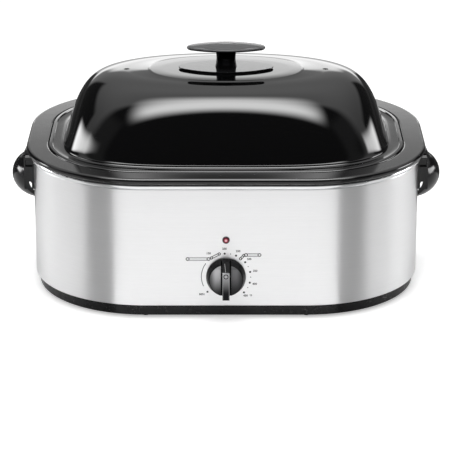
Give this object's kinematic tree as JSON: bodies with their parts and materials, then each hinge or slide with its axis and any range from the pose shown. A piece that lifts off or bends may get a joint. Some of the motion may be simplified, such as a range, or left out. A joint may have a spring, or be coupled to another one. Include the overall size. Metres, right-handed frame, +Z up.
{
  "type": "electric roaster oven",
  "caption": "Oval countertop roaster oven: steel body with heated well, lift-out pan, domed lift-off lid, side handles and a temperature knob.",
  "frame": {"origin": "centre of the body's plan, on the plane that the feet stand on", "axes": "+Z up, controls on -Y, body's length along X"},
  "size_m": [0.632, 0.4636, 0.3469],
  "materials": {
    "brushed_band": "vertical-grain brushed steel",
    "polished_trim": "polished steel bead",
    "base_plastic": "gloss black moulding",
    "foot_rubber": "black rubber",
    "zinc_fastener": "zinc-plated steel",
    "well_sheet": "aluminised steel, satin",
    "strip_mica": "woven heating strip",
    "glass_wool": "glass-fibre blanket",
    "handle_plastic": "gloss black phenolic",
    "knob_plastic": "satin black with a brushed face",
    "ceramic": "ceramic body",
    "lens_red": "clear red lens",
    "gland_plastic": "black nylon",
    "fuse_metal": "fuse case",
    "lead_sleeve": "silicone-sleeved wire",
    "pan_enamel": "gloss black enamel",
    "lid_enamel": "high-gloss black enamel",
    "grip_plastic": "black phenolic, gloss",
    "shield_plastic": "black phenolic, satin top"
  },
  "bodies": {
    "oven_body": {"outer_shell": "brushed_band", "trim_ring": "polished_trim", "base_tray": "base_plastic", "rubber_feet": "foot_rubber", "base_screws": "zinc_fastener", "heating_well": "well_sheet", "tie_bolt": "zinc_fastener", "tie_sleeve": "zinc_fastener", "tie_nut": "zinc_fastener", "heater_strip": "strip_mica", "strip_clips": "zinc_fastener", "insulation_wrap": "glass_wool", "left_handle": "handle_plastic", "right_handle": "handle_plastic", "handle_screws": "zinc_fastener", "thermostat_body": "ceramic", "thermostat_bracket": "zinc_fastener", "thermostat_screws": "zinc_fastener", "indicator_lens": "lens_red", "indicator_lamp": "ceramic", "indicator_clip": "zinc_fastener", "cord_gland": "gland_plastic", "gland_nut": "gland_plastic", "terminal_block": "ceramic", "thermal_fuse": "fuse_metal", "internal_leads": "lead_sleeve"},
    "knob": {"thermostat_shaft": "zinc_fastener", "control_knob": "knob_plastic", "knob_spring_clip": "zinc_fastener"},
    "pan": {"roasting_pan": "pan_enamel"},
    "lid": {"lid_shell": "lid_enamel", "lid_heat_shield": "shield_plastic", "lid_grip": "grip_plastic", "lid_grip_screw": "zinc_fastener", "lid_washer": "zinc_fastener"}
  },
  "joints": [
    {"name": "knob_turn", "type": "hinge", "parent": "oven_body", "child": "knob", "pos_m": [0, -0.212, 0.064], "axis": [0, 1, 0], "range_deg": [-131, 133]},
    {"name": "pan_lift", "type": "slide", "parent": "oven_body", "child": "pan", "axis": [0, 0, 1], "range_m": [0, 0.2]},
    {"name": "lid_lift", "type": "slide", "parent": "pan", "child": "lid", "axis": [0, 0, 1], "range_m": [0, 0.25]}
  ]
}
